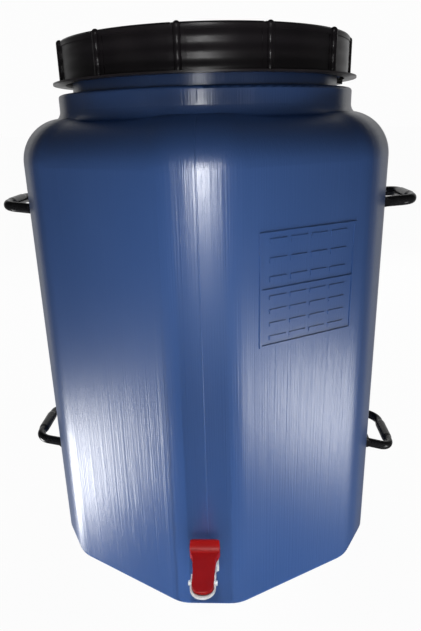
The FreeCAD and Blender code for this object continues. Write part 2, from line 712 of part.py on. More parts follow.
def mirrored_bar(outline, length):
    """A bar along +Y whose section is a half outline in X and Z and its mirror image."""
    corners = [Vector(x, 0, z) for x, z in outline]
    half = Part.Face(Part.makePolygon(corners + corners[:1])).extrude(ALONG_Y * length)
    return half.fuse(half.mirror(CENTRE, ALONG_X))


def tray_arm():
    """The flat arm that joins the bonnet's round part to the tray."""
    half = TRAY_ARM_WIDTH / 2.0
    start = LEVER_PIVOT.y + TRAY_SIDE_LENGTH - TRAY_FLOOR
    end = CHAMBER_Y - BONNET_RADIUS / 2.0
    low = BONNET_TOP - TRAY_DEPTH - TRAY_FLOOR
    return block((LEVER_PIVOT.x - half, LEVER_PIVOT.x + half), (start, end), (low, BONNET_TOP))


def tray_cheek(end):
    """One of the two cheeks that hold the lever's pin."""
    inner = LEVER_NOSE_WIDTH / 2.0 + CHEEK_GAP
    near, far = sorted((end * inner, end * TRAY_OUTSIDE))
    ear = rod(CHEEK_RADIUS, far - near, LEVER_PIVOT + ALONG_X * near, ALONG_X)
    foot = block((near, far), (-CHEEK_RADIUS, CHEEK_RADIUS), (TRAY_TOP - TRAY_RIM_HEIGHT, LEVER_PIVOT.z))
    foot.translate(Vector(LEVER_PIVOT.x, LEVER_PIVOT.y, 0))
    return ear.fuse(foot)


def tap_bonnet():
    """The cap over the valve chamber, with the tray and the cheeks that carry the lever."""
    bonnet = bonnet_cap().multiFuse([lever_tray(), tray_arm(), tray_cheek(-1), tray_cheek(1)])
    tube = rod(TUBE_RADIUS + BONNET_CLEARANCE, TAP_REACH, TAP_AXIS + UP * TAP_HEIGHT, ALONG_Y)
    pin_start = LEVER_PIVOT - ALONG_X * 2.0 * TRAY_OUTSIDE
    pin_hole = rod(LEVER_PIN_RADIUS + CLOSE_FIT, 4.0 * TRAY_OUTSIDE, pin_start, ALONG_X)
    return one_solid(bonnet.cut(tube.fuse(pin_hole)))


def tap_bonnet_seal():
    """The flat seal between the chamber's rim and the bonnet."""
    return ring(CHAMBER_RADIUS, CHAMBER_BORE, BONNET_SEAL, TAP_AXIS + UP * CHAMBER_TOP)


def tap_stem_seal():
    """The round ring in the bonnet's recess that wipes the stem."""
    middle = STEM_RADIUS + STEM_CLEARANCE + STEM_SEAL_SECTION
    seal = Part.makeTorus(middle, STEM_SEAL_SECTION - CLOSE_FIT)
    seal.translate(TAP_AXIS + UP * (BONNET_UNDER + STEM_SEAL_SECTION))
    return seal


def tap_stem():
    """The valve stem: foot and spigot through the seat seal, thrust plate, rod and pin hole."""
    seal_low = CHAMBER_LOW + SEAT_GAP
    foot_low = seal_low - STEM_FOOT_THICKNESS
    plate_top = STEM_PLATE_LOW + STEM_PLATE_THICKNESS
    top = LINK_HEIGHT + STEM_ABOVE_PIN
    stem = turned([
        (0, foot_low),
        (STEM_FOOT_RADIUS, foot_low),
        (STEM_FOOT_RADIUS, seal_low),
        (STEM_SPIGOT_RADIUS, seal_low),
        (STEM_SPIGOT_RADIUS, STEM_PLATE_LOW),
        (STEM_PLATE_RADIUS, STEM_PLATE_LOW),
        (STEM_PLATE_RADIUS, plate_top),
        (STEM_RADIUS, plate_top),
        (STEM_RADIUS, top - STEM_TOP_BEVEL),
        (STEM_RADIUS - STEM_TOP_BEVEL, top),
        (0, top),
    ])
    stem.translate(TAP_AXIS)
    hole_start = TAP_AXIS + UP * LINK_HEIGHT - ALONG_X * 2.0 * STEM_RADIUS
    hole = rod(LINK_PIN_RADIUS + CLOSE_FIT, 4.0 * STEM_RADIUS, hole_start, ALONG_X)
    return one_solid(stem.cut(hole))


def tap_seat_seal():
    """The rubber disc on the stem that closes the seat."""
    base = TAP_AXIS + UP * (CHAMBER_LOW + SEAT_GAP)
    return ring(SEAT_SEAL_RADIUS, STEM_SPIGOT_RADIUS + CLOSE_FIT, SEAT_SEAL_THICKNESS, base)


def tap_spring():
    """The closing spring between the bonnet and the stem's plate."""
    low = STEM_PLATE_LOW + STEM_PLATE_THICKNESS + SPRING_END_GAP + SPRING_WIRE
    high = BONNET_UNDER - SPRING_END_GAP - SPRING_WIRE
    spine = Part.makeHelix((high - low) / SPRING_TURNS, high - low, SPRING_COIL_RADIUS)
    section = Part.Wire(Part.makeCircle(SPRING_WIRE, Vector(SPRING_COIL_RADIUS, 0, 0), ALONG_Y))
    spring = Part.Wire(spine.Edges).makePipeShell([section], True, True)
    spring.translate(TAP_AXIS + UP * low)
    return spring


def bowed_middle(start, end, bow):
    """The middle point of an arc between two points, bowed down and outwards by a distance."""
    along = end - start
    across = Vector(0, along.z, -along.y)
    across.normalize()
    return start + along * 0.5 + across * bow


def lever_profile():
    """The lever's side outline about its pivot: a flat arm that bends up into the thumb tab."""
    tab_end = LEVER_LENGTH + LEVER_TAB_RUN
    tail_top = LEVER_TOP + LEVER_TAB_HEIGHT
    nose = -(LEVER_NOSE_REACH + LEVER_PLAN_ROUND)
    bend_start = Vector(0, LEVER_LENGTH - LEVER_BEND, LEVER_TOP)
    tail_inner = Vector(0, tab_end - LEVER_TAB_THICKNESS, tail_top)
    tail_outer = Vector(0, tab_end, tail_top - LEVER_TAB_EDGE)
    under_start = Vector(0, LEVER_LENGTH, -LEVER_BELOW_PIN)
    edges = [
        Part.Arc(bend_start, bowed_middle(bend_start, tail_inner, LEVER_BEND * 0.6), tail_inner).toShape(),
        Part.LineSegment(tail_inner, tail_outer).toShape(),
        Part.Arc(tail_outer, bowed_middle(under_start, tail_outer, LEVER_BEND * 0.4), under_start).toShape(),
    ]
    rest = [
        under_start,
        Vector(0, -NOSE_CENTRE, -LEVER_BELOW_PIN),
        Vector(0, nose, LEVER_NOSE_LIFT - LEVER_BELOW_PIN),
        Vector(0, nose, LEVER_NOSE_TOP - LEVER_EDGE),
        Vector(0, nose + LEVER_PLAN_ROUND + LEVER_EDGE, LEVER_NOSE_TOP),
        Vector(0, 0, LEVER_NOSE_TOP),
        Vector(0, LINK_ARM - 2.0 * STEM_RADIUS, LEVER_TOP),
        bend_start,
    ]
    return Part.Wire(edges + Part.makePolygon(rest).Edges)


def lever_plan():
    """The lever's outline from above: round nose, straight arm and flared tab."""
    arm = LEVER_ARM_WIDTH / 2.0
    tab = LEVER_TAB_WIDTH / 2.0
    front = Vector(0, -LEVER_NOSE_REACH, 0)
    tail = LEVER_LENGTH + LEVER_TAB_RUN + LEVER_PLAN_ROUND
    right = [
        Vector(NOSE_RADIUS, TRAY_SIDE_LENGTH + LEVER_GAP, 0),
        Vector(arm - LEVER_PLAN_ROUND, LEVER_LENGTH * 0.55, 0),
        Vector(arm, LEVER_LENGTH * 0.75, 0),
        Vector(tab, LEVER_LENGTH + LEVER_TAB_RUN * 0.3, 0),
        Vector(tab - LEVER_TAB_CORNER, tail, 0),
    ]
    left = [Vector(-p.x, p.y, p.z) for p in right]
    flank = Part.BSplineCurve()
    flank.interpolate(right)
    mirror = Part.BSplineCurve()
    mirror.interpolate(left)
    nose_start = Vector(-NOSE_RADIUS, -NOSE_CENTRE, 0)
    nose_end = Vector(NOSE_RADIUS, -NOSE_CENTRE, 0)
    edges = [
        Part.LineSegment(left[0], nose_start).toShape(),
        Part.Arc(nose_start, front, nose_end).toShape(),
        Part.LineSegment(nose_end, right[0]).toShape(),
        flank.toShape(),
        Part.LineSegment(right[-1], left[-1]).toShape(),
        mirror.toShape(),
    ]
    return Part.Wire(Part.sortEdges(edges)[0])


def link_slide():
    """How far the link pin slides along the lever as the stem rises to its limit."""
    swing = math.radians(LEVER_SWING)
    rise = STEM_LIFT - LINK_BELOW_PIVOT
    return LINK_ARM * (math.cos(swing) - 1.0) + rise * math.sin(swing)


def link_room():
    """The room in the lever for the stem's top and the link pin, about the lever's pivot."""
    half = LEVER_TAB_WIDTH
    span = 2.0 * half
    slot_half = STEM_RADIUS + LINK_SLOT_CLEARANCE
    slot_top = STEM_ABOVE_PIN + LINK_SLOT_CLEARANCE - LINK_BELOW_PIVOT
    slot_end = slot_half + 2.0 * LINK_SLOT_CLEARANCE
    slot = block((-slot_half, slot_half), (LINK_ARM - slot_end, LINK_ARM + slot_end), (-half, slot_top))
    radius = LINK_PIN_RADIUS + LINK_PIN_CLEARANCE
    start = Vector(-half, LINK_ARM, -LINK_BELOW_PIVOT)
    slide = link_slide()
    first = rod(radius, span, start, ALONG_X)
    last = rod(radius, span, start + ALONG_Y * slide, ALONG_X)
    height = (-LINK_BELOW_PIVOT - radius, -LINK_BELOW_PIVOT + radius)
    middle = block((-half, half), (LINK_ARM, LINK_ARM + slide), height)
    return slot.multiFuse([first, last, middle])


def tap_lever():
    """The red lever, pinned at its nose, which lifts the stem through the link pin."""
    half = LEVER_TAB_WIDTH
    span = 2.0 * half
    profile = Part.Face(lever_profile()).extrude(ALONG_X * span)
    profile.translate(ALONG_X * -half)
    plan = Part.Face(lever_plan()).extrude(UP * span)
    plan.translate(UP * -half)
    pivot_hole = rod(LEVER_PIN_RADIUS + LEVER_PIN_CLEARANCE, span, ALONG_X * -half, ALONG_X)
    lever = profile.common(plan).cut(link_room().fuse(pivot_hole))
    lever.translate(LEVER_PIVOT)
    return one_solid(lever)


def tap_lever_pin():
    """The headed pin through the tray's cheeks and the lever's nose."""
    grip = TRAY_OUTSIDE + PIN_HEAD_GAP
    pin = rod(LEVER_PIN_RADIUS, 2.0 * grip, LEVER_PIVOT - ALONG_X * grip, ALONG_X)
    heads = []
    for end in (-1, 1):
        heads.append(rod(PIN_HEAD_RADIUS, PIN_HEAD_THICKNESS, LEVER_PIVOT + ALONG_X * (grip * end), ALONG_X * end))
    return one_solid(pin.multiFuse(heads))


def tap_link_pin():
    """The plain pin through the stem's top and the lever's slotted hole."""
    half = LEVER_ARM_WIDTH / 2.0 - LINK_PIN_INSET
    middle = TAP_AXIS + UP * LINK_HEIGHT
    return rod(LINK_PIN_RADIUS, 2.0 * half, middle - ALONG_X * half, ALONG_X)


# All pieces

def all_pieces():
    """Every separate piece by its name."""
    pieces = {
        "barrel_body": barrel_body(),
        "lid_gasket": lid_gasket(),
        "inner_lid": inner_lid(),
        "screw_lid": screw_lid(),
        "tap_body": tap_body(),
        "tap_outer_seal": tap_outer_seal(),
        "tap_inner_seal": tap_inner_seal(),
        "tap_nut": tap_nut(),
        "tap_bonnet": tap_bonnet(),
        "tap_bonnet_seal": tap_bonnet_seal(),
        "tap_stem_seal": tap_stem_seal(),
        "tap_stem": tap_stem(),
        "tap_seat_seal": tap_seat_seal(),
        "tap_spring": tap_spring(),
        "tap_lever": tap_lever(),
        "tap_lever_pin": tap_lever_pin(),
        "tap_link_pin": tap_link_pin(),
    }
    for level, height in HANDLE_HEIGHTS.items():
        for side_name, side in (("left", -1), ("right", 1)):
            place = level + "_" + side_name
            pieces["handle_" + place] = handle(side, height, HANDLE_TILTS[place])
    return pieces


os.makedirs("parts", exist_ok=True)
for name, shape in all_pieces().items():
    shape.exportStep("parts/" + name + ".step")
    print(name, "valid", shape.isValid(), "solids", len(shape.Solids), "volume", round(shape.Volume))
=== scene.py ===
# %% [markdown]
# # A plastic barrel with a tap
#
# The barrel is a hollow blow-moulded body with six flat sides, cut corners and rounded edges. A black screw
# lid closes it, four black handles fold against its sides, and a white tap with a red lever sits low on the
# front corner. The solids come from the CAD model and stay where they are. This script gives them their
# finish, adds the small forms that moulding leaves behind, and sets up the studio and the camera.

# %% Load the solids
import json
import math

import bpy
import numpy as np
from mathutils import Matrix, Vector


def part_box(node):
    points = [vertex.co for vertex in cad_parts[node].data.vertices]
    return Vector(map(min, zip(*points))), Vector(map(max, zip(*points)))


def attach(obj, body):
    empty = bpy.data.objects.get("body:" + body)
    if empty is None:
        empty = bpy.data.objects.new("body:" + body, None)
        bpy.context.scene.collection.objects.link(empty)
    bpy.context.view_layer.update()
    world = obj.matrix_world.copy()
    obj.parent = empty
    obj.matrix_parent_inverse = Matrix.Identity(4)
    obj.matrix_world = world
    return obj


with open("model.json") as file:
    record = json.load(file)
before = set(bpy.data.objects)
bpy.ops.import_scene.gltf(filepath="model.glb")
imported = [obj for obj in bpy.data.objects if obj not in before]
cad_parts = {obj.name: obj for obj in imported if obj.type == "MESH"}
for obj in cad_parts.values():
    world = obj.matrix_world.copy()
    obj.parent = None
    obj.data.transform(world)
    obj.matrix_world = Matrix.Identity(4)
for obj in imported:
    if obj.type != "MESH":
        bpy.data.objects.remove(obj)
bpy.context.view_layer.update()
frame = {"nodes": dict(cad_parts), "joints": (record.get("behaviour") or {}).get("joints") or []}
nodes = frame["nodes"]
scene = bpy.context.scene

# %% [markdown]
# ## The camera
#
# The camera stands less than half a metre from the barrel, a little below the height of the lid, and looks
# down by about 19 degrees. From so near, the barrel looks narrower towards its base. Blender could aim the
# camera with a constraint, but its own axes, worked out from heading, dip and roll, also hold the small roll.

# %% Camera
CAMERA_PLACE = Vector((0.0318, -0.6782, 0.5069))
CAMERA_HEADING = -0.048
CAMERA_DIP = math.radians(19.26)
CAMERA_ROLL = math.radians(-1.57)
LENS_MM = 31.66
SENSOR_MM = 36.0
NEAREST = 0.01


def camera_matrix(place, heading, dip, roll):
    """The camera's frame: its view axis from heading and dip, then right and up turned by the roll."""
    ahead = Vector((math.sin(heading) * math.cos(dip), math.cos(heading) * math.cos(dip), -math.sin(dip)))
    level = Vector((math.cos(heading), -math.sin(heading), 0.0))
    above = level.cross(ahead)
    right = level * math.cos(roll) + above * math.sin(roll)
    up = above * math.cos(roll) - level * math.sin(roll)
    axes = Matrix((right, up, -ahead)).transposed().to_4x4()
    return Matrix.Translation(place) @ axes


camera_data = bpy.data.cameras.new("camera")
camera_data.lens = LENS_MM
camera_data.sensor_width = SENSOR_MM
camera_data.clip_start = NEAREST
camera = bpy.data.objects.new("camera", camera_data)
camera.matrix_world = camera_matrix(CAMERA_PLACE, CAMERA_HEADING, CAMERA_DIP, CAMERA_ROLL)
scene.collection.objects.link(camera)
scene.camera = camera
scene.view_settings.view_transform = "Standard"
print("camera at", [round(v, 3) for v in CAMERA_PLACE], "lens", LENS_MM, "mm")

# %% [markdown]
# ## Material helpers
#
# Every finish starts from one Principled shader, because plastic, rubber and steel differ only in its values.
# Patterns are read from Object coordinates in metres, so a pattern has the same size on every piece and stays
# with the piece in every pose. One helper places a node and feeds its inputs, and the rest builds on it.

# %% Node helpers
OPAQUE = 1.0


def put(tree, kind, inputs=None, **settings):
    """A node with its settings. Each input is given as a value, or as the socket that feeds it."""
    made = tree.nodes.new(kind)
    for key, value in settings.items():
        setattr(made, key, value)
    for key, value in (inputs or {}).items():
        if isinstance(value, bpy.types.NodeSocket):
            tree.links.new(value, made.inputs[key])
        else:
            made.inputs[key].default_value = value
    return made


def ramp_of(tree, factor, stops):
    """A colour ramp over a factor, with stops given as (position, colour)."""
    made = put(tree, "ShaderNodeValToRGB", {"Fac": factor})
    elements = made.color_ramp.elements
    while len(elements) < len(stops):
        elements.new(0.5)
    for element, (position, colour) in zip(elements, stops):
        element.position = position
        element.color = (*colour, OPAQUE)
    return made.outputs["Color"]


def span_of(tree, value, low, high, new_low, new_high):
    """A value carried from the span low..high to new_low..new_high, and held at its ends."""
    spans = {"Value": value, "From Min": low, "From Max": high, "To Min": new_low, "To Max": new_high}
    return put(tree, "ShaderNodeMapRange", spans).outputs["Result"]


class Finish:
    """One material under construction: its node tree, its shader and small makers for the usual patterns."""

    def __init__(self, name):
        self.material = bpy.data.materials.new(name)
        self.material.use_nodes = True
        self.tree = self.material.node_tree
        self.shader = self.tree.nodes["Principled BSDF"]
        self.place = put(self.tree, "ShaderNodeTexCoord").outputs["Object"]

    def maths(self, operation, *values):
        """The operation on its values, each a number or a socket."""
        return put(self.tree, "ShaderNodeMath", dict(enumerate(values)), operation=operation).outputs[0]

    def axes(self):
        """The place split into x, y and z."""
        return put(self.tree, "ShaderNodeSeparateXYZ", {0: self.place}).outputs

    def noise(self, cells, detail=2.0, roughness=0.5):
        """Noise of the place, with its own number of cells per metre along X, Y and Z."""
        scaled = put(self.tree, "ShaderNodeVectorMath", {0: self.place, 1: cells}, operation="MULTIPLY")
        pattern = {"Vector": scaled.outputs[0], "Scale": 1.0, "Detail": detail, "Roughness": roughness}
        return put(self.tree, "ShaderNodeTexNoise", pattern).outputs["Fac"]

    def bump(self, height, distance, under=None):
        """Relief of height * distance metres, laid over the relief under it."""
        relief = {"Strength": 1.0, "Distance": distance, "Height": height}
        if under is not None:
            relief["Normal"] = under
        return put(self.tree, "ShaderNodeBump", relief).outputs["Normal"]

    def give(self, **inputs):
        """Values or sockets for the shader's inputs, with underscores for the spaces in their names."""
        for key, value in inputs.items():
            socket = self.shader.inputs[key.replace("_", " ")]
            if isinstance(value, bpy.types.NodeSocket):
                self.tree.links.new(value, socket)
            else:
                socket.default_value = value


def dress(material, *names):
    """Puts one material on CAD nodes in place of the plain one they came with."""
    for name in names:
        slots = nodes[name].data.materials
        slots.clear()
        slots.append(material)


# %% [markdown]
# ## Blue polyethylene
#
# Blow-moulded polyethylene is satin, not glossy. The mould's walls were finished with vertical strokes, and
# the plastic copied them, so every reflection breaks up into fine upright streaks. An image could hold them,
# but noise that is stretched along Z fits the barrel at any size. A second, even noise gives the slight
# orange-peel grain. The corner faces also swell a little, which a cosine of the distance from the middle of
# the nearest corner gives as relief.

# %% Blue body finish
SWELL_HEIGHT = 0.0028
SWELL_REACH = 0.046
CORNER_HALF_ANGLE = math.radians(30)
BLUE_STOPS = [(0.30, (0.025, 0.070, 0.214)), (0.55, (0.030, 0.078, 0.231)), (0.75, (0.035, 0.088, 0.250))]
STROKE_HEIGHT = 0.00026
FINE_STROKE_HEIGHT = 0.00009
GRAIN_HEIGHT = 0.00004


def corner_swell(finish):
    """cos(pi * d / reach), where d is the distance from the middle of the nearest corner face, held at the
    reach. d is the distance from the axis times the sine of the heading, folded to half a corner each way."""
    x, y, _ = finish.axes()
    heading = finish.maths("ADD", finish.maths("ARCTAN2", y, x), math.radians(90))
    folded = finish.maths("WRAP", heading, CORNER_HALF_ANGLE, -CORNER_HALF_ANGLE)
    squares = finish.maths("ADD", finish.maths("MULTIPLY", x, x), finish.maths("MULTIPLY", y, y))
    sideways = finish.maths("MULTIPLY", finish.maths("SQRT", squares), finish.maths("SINE", folded))
    held = finish.maths("MINIMUM", finish.maths("ABSOLUTE", sideways), SWELL_REACH)
    return finish.maths("COSINE", finish.maths("MULTIPLY", held, math.pi / SWELL_REACH))


blue = Finish("blue_polyethylene")
broad = blue.noise((9.0, 9.0, 5.0), detail=3.0)
strokes = blue.noise((620.0, 620.0, 3.5), detail=3.0, roughness=0.62)
fine_strokes = blue.noise((1300.0, 1300.0, 14.0))
grain = blue.noise((900.0, 900.0, 900.0), detail=1.0)
tone = blue.maths("ADD", blue.maths("MULTIPLY", broad, 0.7), blue.maths("MULTIPLY", strokes, 0.3))
relief = blue.bump(corner_swell(blue), SWELL_HEIGHT)
relief = blue.bump(strokes, STROKE_HEIGHT, under=relief)
relief = blue.bump(fine_strokes, FINE_STROKE_HEIGHT, under=relief)
relief = blue.bump(grain, GRAIN_HEIGHT, under=relief)
blue.give(Base_Color=ramp_of(blue.tree, tone, BLUE_STOPS), Normal=relief, IOR=1.7, Specular_IOR_Level=1.0)
blue.give(Roughness=span_of(blue.tree, broad, 0.3, 0.7, 0.31, 0.36))
dress(blue.material, "barrel_body")
print("blue finish on", nodes["barrel_body"].name)

# %% [markdown]
# ## Black, white, red and the small parts
#
# The lid is satin black polypropylene, the handles are a shinier black, the tap is white and its lever red.
# Each has a faint cloud of tone and its own roughness, because no moulding is perfectly even. They differ
# only in numbers, so one function makes them all. The lid also has level sink marks, as thick mouldings do.

# %% Moulded finishes
SKIN_CELLS = (700.0, 700.0, 700.0)
SKIN_HEIGHT = 0.00003
SINK_PITCH = 0.0126
SINK_SHIFT = 0.0062


def sink_marks(finish):
    """Level ripples: sin(2 pi (z + shift) / pitch)."""
    shifted = finish.maths("ADD", finish.axes()["Z"], SINK_SHIFT)
    return finish.maths("SINE", finish.maths("MULTIPLY", shifted, 2.0 * math.pi / SINK_PITCH))


def moulded(name, dark, light, smooth, dull, cloud=60.0, sink=0.0, specular=0.5):
    """A moulded plastic: colour between dark and light by a soft cloud with so many cells per metre,
    roughness between smooth and dull by the same cloud, a faint skin, and sink marks of the given height."""
    finish = Finish(name)
    cloudy = finish.noise((cloud, cloud, cloud), detail=3.0)
    skin = finish.bump(finish.noise(SKIN_CELLS, detail=1.0), SKIN_HEIGHT)
    if sink > 0.0:
        skin = finish.bump(sink_marks(finish), sink, under=skin)
    finish.give(Base_Color=ramp_of(finish.tree, cloudy, [(0.35, dark), (0.65, light)]), Normal=skin)
    finish.give(Roughness=span_of(finish.tree, cloudy, 0.3, 0.7, smooth, dull))
    finish.give(IOR=1.5, Specular_IOR_Level=specular)
    return finish.material


LID_SINK = 0.00036
lid_black = moulded("satin_black", (0.012, 0.010, 0.012), (0.019, 0.016, 0.018), 0.30, 0.38, 30.0, LID_SINK)
handle_black = moulded("glossy_black", (0.008, 0.008, 0.009), (0.014, 0.014, 0.015), 0.22, 0.32)
tap_white = moulded("tap_white", (0.84, 0.86, 0.88), (0.90, 0.91, 0.92), 0.25, 0.33)
lever_red = moulded("lever_red", (0.42, 0.010, 0.011), (0.47, 0.012, 0.012), 0.36, 0.44, specular=0.15)
natural = moulded("natural_polyethylene", (0.55, 0.55, 0.51), (0.62, 0.62, 0.58), 0.40, 0.50)
rubber = moulded("black_rubber", (0.016, 0.016, 0.016), (0.024, 0.024, 0.024), 0.70, 0.80)
dress(lid_black, "screw_lid")
dress(handle_black, "handle_lower_left", "handle_lower_right", "handle_upper_left", "handle_upper_right")
dress(tap_white, "tap_body", "tap_bonnet", "tap_nut", "tap_stem", "tap_lever_pin", "tap_link_pin")
dress(lever_red, "tap_lever")
dress(natural, "inner_lid")
dress(rubber, "lid_gasket", "tap_outer_seal", "tap_inner_seal")
dress(rubber, "tap_bonnet_seal", "tap_stem_seal", "tap_seat_seal")
print("six moulded finishes on", len(nodes) - 2, "solids")

# %% [markdown]
# ## Spring wire
#
# The tap's closing spring is drawn steel wire. Drawing leaves it bright, with slight bands along its length,
# so the shader is fully metallic and noise that is finer along Z sets the tone.

# %% Spring wire
WIRE_STOPS = [(0.3, (0.50, 0.50, 0.51)), (0.7, (0.60, 0.60, 0.61))]
steel = Finish("spring_wire")
steel.give(Base_Color=ramp_of(steel.tree, steel.noise((200.0, 200.0, 900.0)), WIRE_STOPS))
steel.give(Metallic=1.0, Roughness=0.3, IOR=1.5)
dress(steel.material, "tap_spring")
print(len(bpy.data.materials), "materials in the file")

# %% [markdown]
# ## The lines that moulding leaves
#
# A mould has two halves, and a fine raised line stays where they met. It could be a bump in the material, but
# then it would be missing from the mesh. Here each line is a thin closed spindle along a path, half sunk into
# the surface. First come the helpers that sweep an ellipse along a path and close its two ends in points.

# %% A closed sweep
RING_POINTS = 12
TAPER_STEPS = 6


def closed_sweep(name, path, sides, normals, half_width, height):
    """A spindle along a path: centre + side * w * cos(a) + normal * h * sin(a), where w and h grow from 0 at
    both ends over the first steps as sin(pi / 2 * i / taper)."""
    count = len(path)
    step = np.minimum(np.arange(count), count - 1 - np.arange(count))
    swell = np.sin(np.pi / 2 * np.clip(step / TAPER_STEPS, 0.0, 1.0))[1:-1, None, None]
    angle = np.linspace(0.0, 2 * np.pi, RING_POINTS, endpoint=False)[None, :, None]
    wide, high = sides[1:-1, None, :] * half_width, normals[1:-1, None, :] * height
    rings = path[1:-1, None, :] + swell * (wide * np.cos(angle) + high * np.sin(angle))
    points = np.concatenate([rings.reshape(-1, 3), path[:1], path[-1:]])
    here, there = np.arange(RING_POINTS), (np.arange(RING_POINTS) + 1) % RING_POINTS
    level = np.arange(count - 3)[:, None] * RING_POINTS
    first, turned = (level + here).ravel(), (level + there).ravel()
    quads = np.stack([first, turned, turned + RING_POINTS, first + RING_POINTS], axis=1)
    last = (count - 3) * RING_POINTS
    start = np.stack([np.full(RING_POINTS, len(points) - 2), there, here], axis=1)
    end = np.stack([np.full(RING_POINTS, len(points) - 1), here + last, there + last], axis=1)
    return solid_from(name, points, quads, np.concatenate([start, end]))


def solid_from(name, points, quads, triangles):
    """A smooth closed mesh with its faces outward: they are turned over when their signed volume, the sum of
    a . (b x c) over all triangles, is negative."""
    halves = np.concatenate([quads[:, [0, 1, 2]], quads[:, [0, 2, 3]], triangles])
    a, b, c = points[halves[:, 0]], points[halves[:, 1]], points[halves[:, 2]]
    if np.einsum("ij,ij->i", a, np.cross(b, c)).sum() < 0:
        quads, triangles = quads[:, ::-1], triangles[:, ::-1]
    mesh = bpy.data.meshes.new(name)
    mesh.from_pydata(points.tolist(), [], quads.tolist() + triangles.tolist())
    mesh.polygons.foreach_set("use_smooth", [True] * len(mesh.polygons))
    made = bpy.data.objects.new(name, mesh)
    scene.collection.objects.link(made)
    return made


def moving_frame(path, flat_axis):
    """The directions across a path: side = flat axis, normal = side x tangent."""
    tangents = np.gradient(path, axis=0)
    tangents /= np.linalg.norm(tangents, axis=1, keepdims=True)
    sides = np.broadcast_to(np.array(flat_axis, float), path.shape)
    return sides, np.cross(sides, tangents)


print("sweeps have", RING_POINTS, "points round")

# %% [markdown]
# ## Parting lines of the barrel
#
# The barrel's mould opens to the left and right, so its line runs in the plane x = 0: up the front corner,
# over the shoulder and up the collar, and again at the back. The back wall is the outermost face of the
# barrel, and nothing may stand proud of it, so the line at the back starts on the shoulder.

# %% Parting lines of the barrel
CORNER_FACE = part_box("barrel_body")[1][1]
WALL_FOOT = 0.009
SHOULDER_START = 0.469
SHOULDER_RADIUS = 0.045
SHOULDER_FROM = {"front": 3.0, "back": 9.0}
SHOULDER_TO = 72.0
COLLAR_FACE = 0.162
COLLAR_FROM, COLLAR_TO = 0.5225, 0.5330
LINE_SIZE = {"half_width": 0.0007, "height": 0.0003}
WALL_STEPS, SHOULDER_STEPS, COLLAR_STEPS = 60, 24, 20


def wall_path(end):
    """At the front a straight run up the wall, then at both ends the shoulder's arc: face - r (1 - cos a)
    out and start + r sin a up."""
    wall = np.linspace(WALL_FOOT, SHOULDER_START, WALL_STEPS) if end == "front" else np.zeros(0)
    turn = np.radians(np.linspace(SHOULDER_FROM[end], SHOULDER_TO, SHOULDER_STEPS))
    arc = CORNER_FACE - SHOULDER_RADIUS * (1 - np.cos(turn))
    out = np.concatenate([np.full(len(wall), CORNER_FACE), arc])
    return out, np.concatenate([wall, SHOULDER_START + SHOULDER_RADIUS * np.sin(turn)])


def collar_path(end):
    """A straight line up the collar's face."""
    return np.full(COLLAR_STEPS, COLLAR_FACE), np.linspace(COLLAR_FROM, COLLAR_TO, COLLAR_STEPS)


for end, toward in (("front", -1.0), ("back", 1.0)):
    for part, outline in (("wall", wall_path), ("collar", collar_path)):
        out, up = outline(end)
        path = np.stack([np.zeros(len(out)), toward * out, up], axis=1)
        sides, normals = moving_frame(path, (1.0, 0.0, 0.0))
        line = closed_sweep("parting_line_" + part + "_" + end, path, sides, normals, **LINE_SIZE)
        line.data.materials.append(blue.material)
        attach(line, "barrel")
        print(line.name, len(line.data.polygons), "faces")

# %% [markdown]
# ## Parting lines of the handles
#
# The handles are injection moulded, and their line follows the inner side of the loop. A curve with a bevel
# would do, but the same sweep as on the barrel keeps its ends closed. One loop is worked out flat, and each
# handle tilts it to its own angle, mirrors it for the left side and moves it to its pivot.

# %% Parting lines of the handles
REACH, ARM_HALF_SPACING, BEND = 0.0342, 0.041, 0.015
ARM_RADIUS, GRIP_RADIUS, GRIP_TAPER = 0.0049, 0.0064, 0.009
ARM_START = 0.004
ARM_STEPS, BEND_STEPS, GRIP_STEPS = 14, 22, 24
HANDLE_LINE_SIZE = {"half_width": 0.0005, "height": 0.00035}
TILTS = {
    "handle_lower_left": 12.0,
    "handle_lower_right": -14.0,
    "handle_upper_left": 7.0,
    "handle_upper_right": 4.0,
}
pivots = {joint["child"]: joint["pos_m"] for joint in frame["joints"] if joint["child"] in TILTS}


def loop_path():
    """The loop's inner side in its own plane: arm, quarter circle and half the grip, then the same mirrored.
    The grip's radius grows from the arm's by a linear taper."""
    arm = np.linspace(ARM_START, REACH - BEND, ARM_STEPS)
    turn = np.radians(np.linspace(3.0, 87.0, BEND_STEPS))
    grip = np.linspace(BEND - ARM_HALF_SPACING, 0.0, GRIP_STEPS)
    grown = np.clip((grip + ARM_HALF_SPACING - BEND) / GRIP_TAPER, 0.0, 1.0)
    radius = ARM_RADIUS + (GRIP_RADIUS - ARM_RADIUS) * grown
    inner_bend = BEND - ARM_RADIUS
    x = np.concatenate([arm, REACH - BEND + inner_bend * np.sin(turn), REACH - radius])
    bend_y = BEND - ARM_HALF_SPACING - inner_bend * np.cos(turn)
    y = np.concatenate([np.full(ARM_STEPS, ARM_RADIUS - ARM_HALF_SPACING), bend_y, grip])
    x, y = np.concatenate([x, x[-2::-1]]), np.concatenate([y, -y[-2::-1]])
    return np.stack([x, y, np.zeros(len(x))], axis=1)


def tilted(vectors, side, tilt):
    """Vectors turned up about Y, x' = side (x cos t - z sin t) and z' = x sin t + z cos t."""
    c, s = math.cos(tilt), math.sin(tilt)
    x, z = vectors[:, 0] * c - vectors[:, 2] * s, vectors[:, 0] * s + vectors[:, 2] * c
    return np.stack([side * x, vectors[:, 1], z], axis=1)


